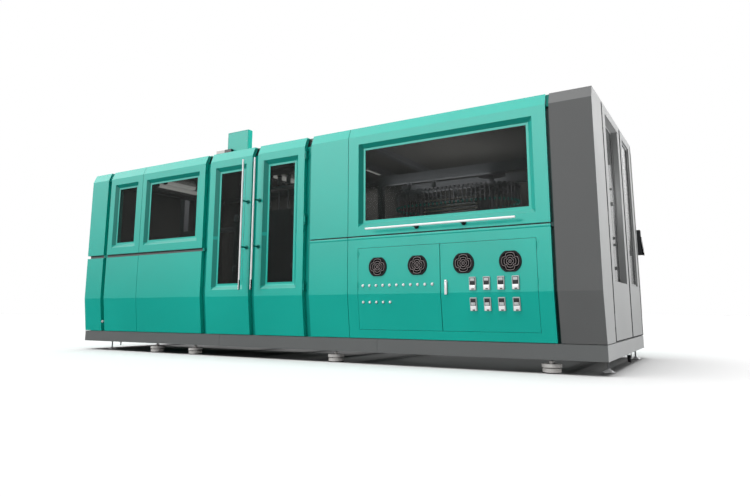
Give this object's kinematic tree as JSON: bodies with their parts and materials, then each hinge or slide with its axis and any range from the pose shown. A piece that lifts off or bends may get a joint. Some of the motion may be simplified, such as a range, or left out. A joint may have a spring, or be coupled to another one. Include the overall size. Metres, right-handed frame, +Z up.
{
  "type": "blow moulding machine",
  "caption": "Enclosed linear stretch blow moulding machine with window doors, tall bar-handled doors, fan-cooled control cabinet, glazed end doors and rear operator terminal.",
  "frame": {"origin": "middle of the footprint on the floor, halfway between the end faces and between the front and rear creases", "axes": "+X along the machine from the left end to the glazed end doors, +Y from the operator front to the rear, +Z up"},
  "size_m": [7.056, 2.623, 2.779],
  "materials": {
    "teal_paint": "satin powder coat, blue-green",
    "grey_paint": "satin powder coat, mid grey",
    "plinth_paint": "satin powder coat, mid grey",
    "frame_paint": "matt grey machine paint",
    "clear_glass": "grey tinted safety glass",
    "white_powder": "white coated tube",
    "black_plastic": "black moulded plastic",
    "lamp_lens": "clear white lens",
    "keypad_plastic": "light grey moulded plastic",
    "cast_feet": "pale grey painted cast feet",
    "zinc_steel": "zinc plated steel",
    "wheel_rubber": "grey rubber tread",
    "terminal_plastic": "dark grey housing",
    "light_panel": "opal diffuser",
    "heater_glass": "quartz tube",
    "chain_steel": "oiled steel",
    "mould_aluminium": "machined aluminium"
  },
  "bodies": {
    "root": {"base_frame": "frame_paint", "ceiling_lights": "light_panel", "clamp_frame": "frame_paint", "end_cabinet": "grey_paint", "front_frame": "teal_paint", "heater_lamps": "heater_glass", "left_end_panel": "teal_paint", "levelling_feet": "zinc_steel", "machine_mounts": "cast_feet", "oven_frame": "frame_paint", "panel_a_lower": "teal_paint", "panel_a_upper": "teal_paint", "panel_b_lower_left": "teal_paint", "panel_b_lower_right": "teal_paint", "panel_d_lower": "teal_paint", "panel_d_upper": "teal_paint", "panel_e_lower": "teal_paint", "plinth_skirt": "plinth_paint", "preform_chain": "chain_steel", "rear_wall": "teal_paint", "roof_box": "teal_paint", "roof_frame": "frame_paint", "roof_panels": "teal_paint"},
    "door_b_narrow": {"door_b_narrow": "teal_paint", "glass_b_narrow": "clear_glass"},
    "door_b_wide": {"door_b_wide": "teal_paint", "glass_b_wide": "clear_glass"},
    "door_e": {"door_e": "teal_paint", "glass_e": "clear_glass", "handle_e": "white_powder"},
    "door_c_left": {"door_c_left": "teal_paint", "glass_c_left": "clear_glass", "handle_c_left": "white_powder"},
    "door_c_right": {"door_c_right": "teal_paint", "glass_c_right": "clear_glass", "handle_c_right": "white_powder"},
    "door_f_near": {"door_f_near": "grey_paint", "glass_f_near": "clear_glass"},
    "door_f_far": {"door_f_far": "grey_paint", "glass_f_far": "clear_glass"},
    "cabinet_left": {"cabinet_door_left": "teal_paint", "fan_guards_left": "black_plastic", "pilot_lamps": "lamp_lens"},
    "cabinet_right": {"cabinet_door_right": "teal_paint", "fan_guards_right": "black_plastic", "drive_keypads": "keypad_plastic"},
    "latch": {"cabinet_handle": "zinc_steel"},
    "fan_1": {"fan_rotor_1": "black_plastic"},
    "fan_2": {"fan_rotor_2": "black_plastic"},
    "fan_3": {"fan_rotor_3": "black_plastic"},
    "fan_4": {"fan_rotor_4": "black_plastic"},
    "arm": {"terminal_arm": "zinc_steel"},
    "terminal": {"operator_terminal": "terminal_plastic"},
    "fork": {"caster_fork": "zinc_steel"},
    "wheel": {"caster_wheel": "wheel_rubber"},
    "drive_sprocket": {"drive_sprocket": "chain_steel"},
    "return_sprocket": {"return_sprocket": "chain_steel"},
    "platen_front": {"platen_front": "mould_aluminium"},
    "platen_rear": {"platen_rear": "mould_aluminium"},
    "carriage": {"stretch_carriage": "mould_aluminium"}
  },
  "joints": [
    {"name": "door_b_narrow_lift", "type": "hinge", "parent": "root", "child": "door_b_narrow", "pos_m": [0, -1.0885, 2.496], "axis": [-1, 0, 0], "range_deg": [0, 80]},
    {"name": "door_b_wide_lift", "type": "hinge", "parent": "root", "child": "door_b_wide", "pos_m": [0, -1.0885, 2.496], "axis": [-1, 0, 0], "range_deg": [0, 80]},
    {"name": "door_e_lift", "type": "hinge", "parent": "root", "child": "door_e", "pos_m": [0, -1.0885, 2.496], "axis": [-1, 0, 0], "range_deg": [0, 80]},
    {"name": "door_c_left_swing", "type": "hinge", "parent": "root", "child": "door_c_left", "pos_m": [-1.111, -1.173, 1.5], "axis": [0, 0, -1], "range_deg": [0, 90]},
    {"name": "door_c_right_swing", "type": "hinge", "parent": "root", "child": "door_c_right", "pos_m": [0.388, -1.173, 1.5], "axis": [0, 0, 1], "range_deg": [0, 90]},
    {"name": "door_f_near_swing", "type": "hinge", "parent": "root", "child": "door_f_near", "pos_m": [3.5, -0.701, 1.4], "axis": [0, 0, -1], "range_deg": [0, 110]},
    {"name": "door_f_far_swing", "type": "hinge", "parent": "root", "child": "door_f_far", "pos_m": [3.5, 1.113, 1.4], "axis": [0, 0, 1], "range_deg": [0, 90]},
    {"name": "cabinet_left_swing", "type": "hinge", "parent": "root", "child": "cabinet_left", "pos_m": [1.1015, -1.19, 0.8], "axis": [0, 0, -1], "range_deg": [0, 110]},
    {"name": "cabinet_right_swing", "type": "hinge", "parent": "root", "child": "cabinet_right", "pos_m": [2.9635, -1.19, 0.8], "axis": [0, 0, 1], "range_deg": [0, 110]},
    {"name": "latch_turn", "type": "hinge", "parent": "cabinet_right", "child": "latch", "pos_m": [2.0935, -1.185, 0.806], "axis": [0, -1, 0], "range_deg": [0, 90]},
    {"name": "fan_1_spin", "type": "hinge", "parent": "cabinet_left", "child": "fan_1", "pos_m": [1.341, -1.155, 0.973], "axis": [0, 1, 0], "continuous": true},
    {"name": "fan_2_spin", "type": "hinge", "parent": "cabinet_left", "child": "fan_2", "pos_m": [1.791, -1.155, 0.973], "axis": [0, 1, 0], "continuous": true},
    {"name": "fan_3_spin", "type": "hinge", "parent": "cabinet_right", "child": "fan_3", "pos_m": [2.274, -1.155, 0.973], "axis": [0, 1, 0], "continuous": true},
    {"name": "fan_4_spin", "type": "hinge", "parent": "cabinet_right", "child": "fan_4", "pos_m": [2.724, -1.155, 0.973], "axis": [0, 1, 0], "continuous": true},
    {"name": "arm_swing", "type": "hinge", "parent": "root", "child": "arm", "pos_m": [3.15, 1.262, 1.32], "axis": [0, 0, 1], "range_deg": [0, 90]},
    {"name": "terminal_tilt", "type": "hinge", "parent": "arm", "child": "terminal", "pos_m": [3.25, 1.262, 1.32], "axis": [0, 1, 0], "range_deg": [-15, 15]},
    {"name": "caster_swivel", "type": "hinge", "parent": "root", "child": "fork", "pos_m": [3.4335, 0.467, 0.1], "axis": [0, 0, 1], "continuous": true},
    {"name": "caster_roll", "type": "hinge", "parent": "fork", "child": "wheel", "pos_m": [3.4335, 0.445, 0.04], "axis": [1, 0, 0], "continuous": true},
    {"name": "drive_sprocket_turn", "type": "hinge", "parent": "root", "child": "drive_sprocket", "pos_m": [2.219, -0.185, 1.8], "axis": [0, 0, 1], "continuous": true},
    {"name": "return_sprocket_turn", "type": "hinge", "parent": "root", "child": "return_sprocket", "pos_m": [1.3554, -0.185, 1.8], "axis": [0, 0, 1], "continuous": true},
    {"name": "platen_rear_slide", "type": "slide", "parent": "root", "child": "platen_rear", "axis": [0, -1, 0], "range_m": [0, 0.11]},
    {"name": "platen_front_slide", "type": "slide", "parent": "root", "child": "platen_front", "axis": [0, 1, 0], "range_m": [0, 0.11]},
    {"name": "carriage_slide", "type": "slide", "parent": "root", "child": "carriage", "axis": [0, 0, -1], "range_m": [0, 0.25]}
  ],
  "couplings": [
    {"joint": "platen_front_slide", "follows": "platen_rear_slide", "ratio": 1},
    {"joint": "return_sprocket_turn", "follows": "drive_sprocket_turn", "ratio": 1}
  ]
}
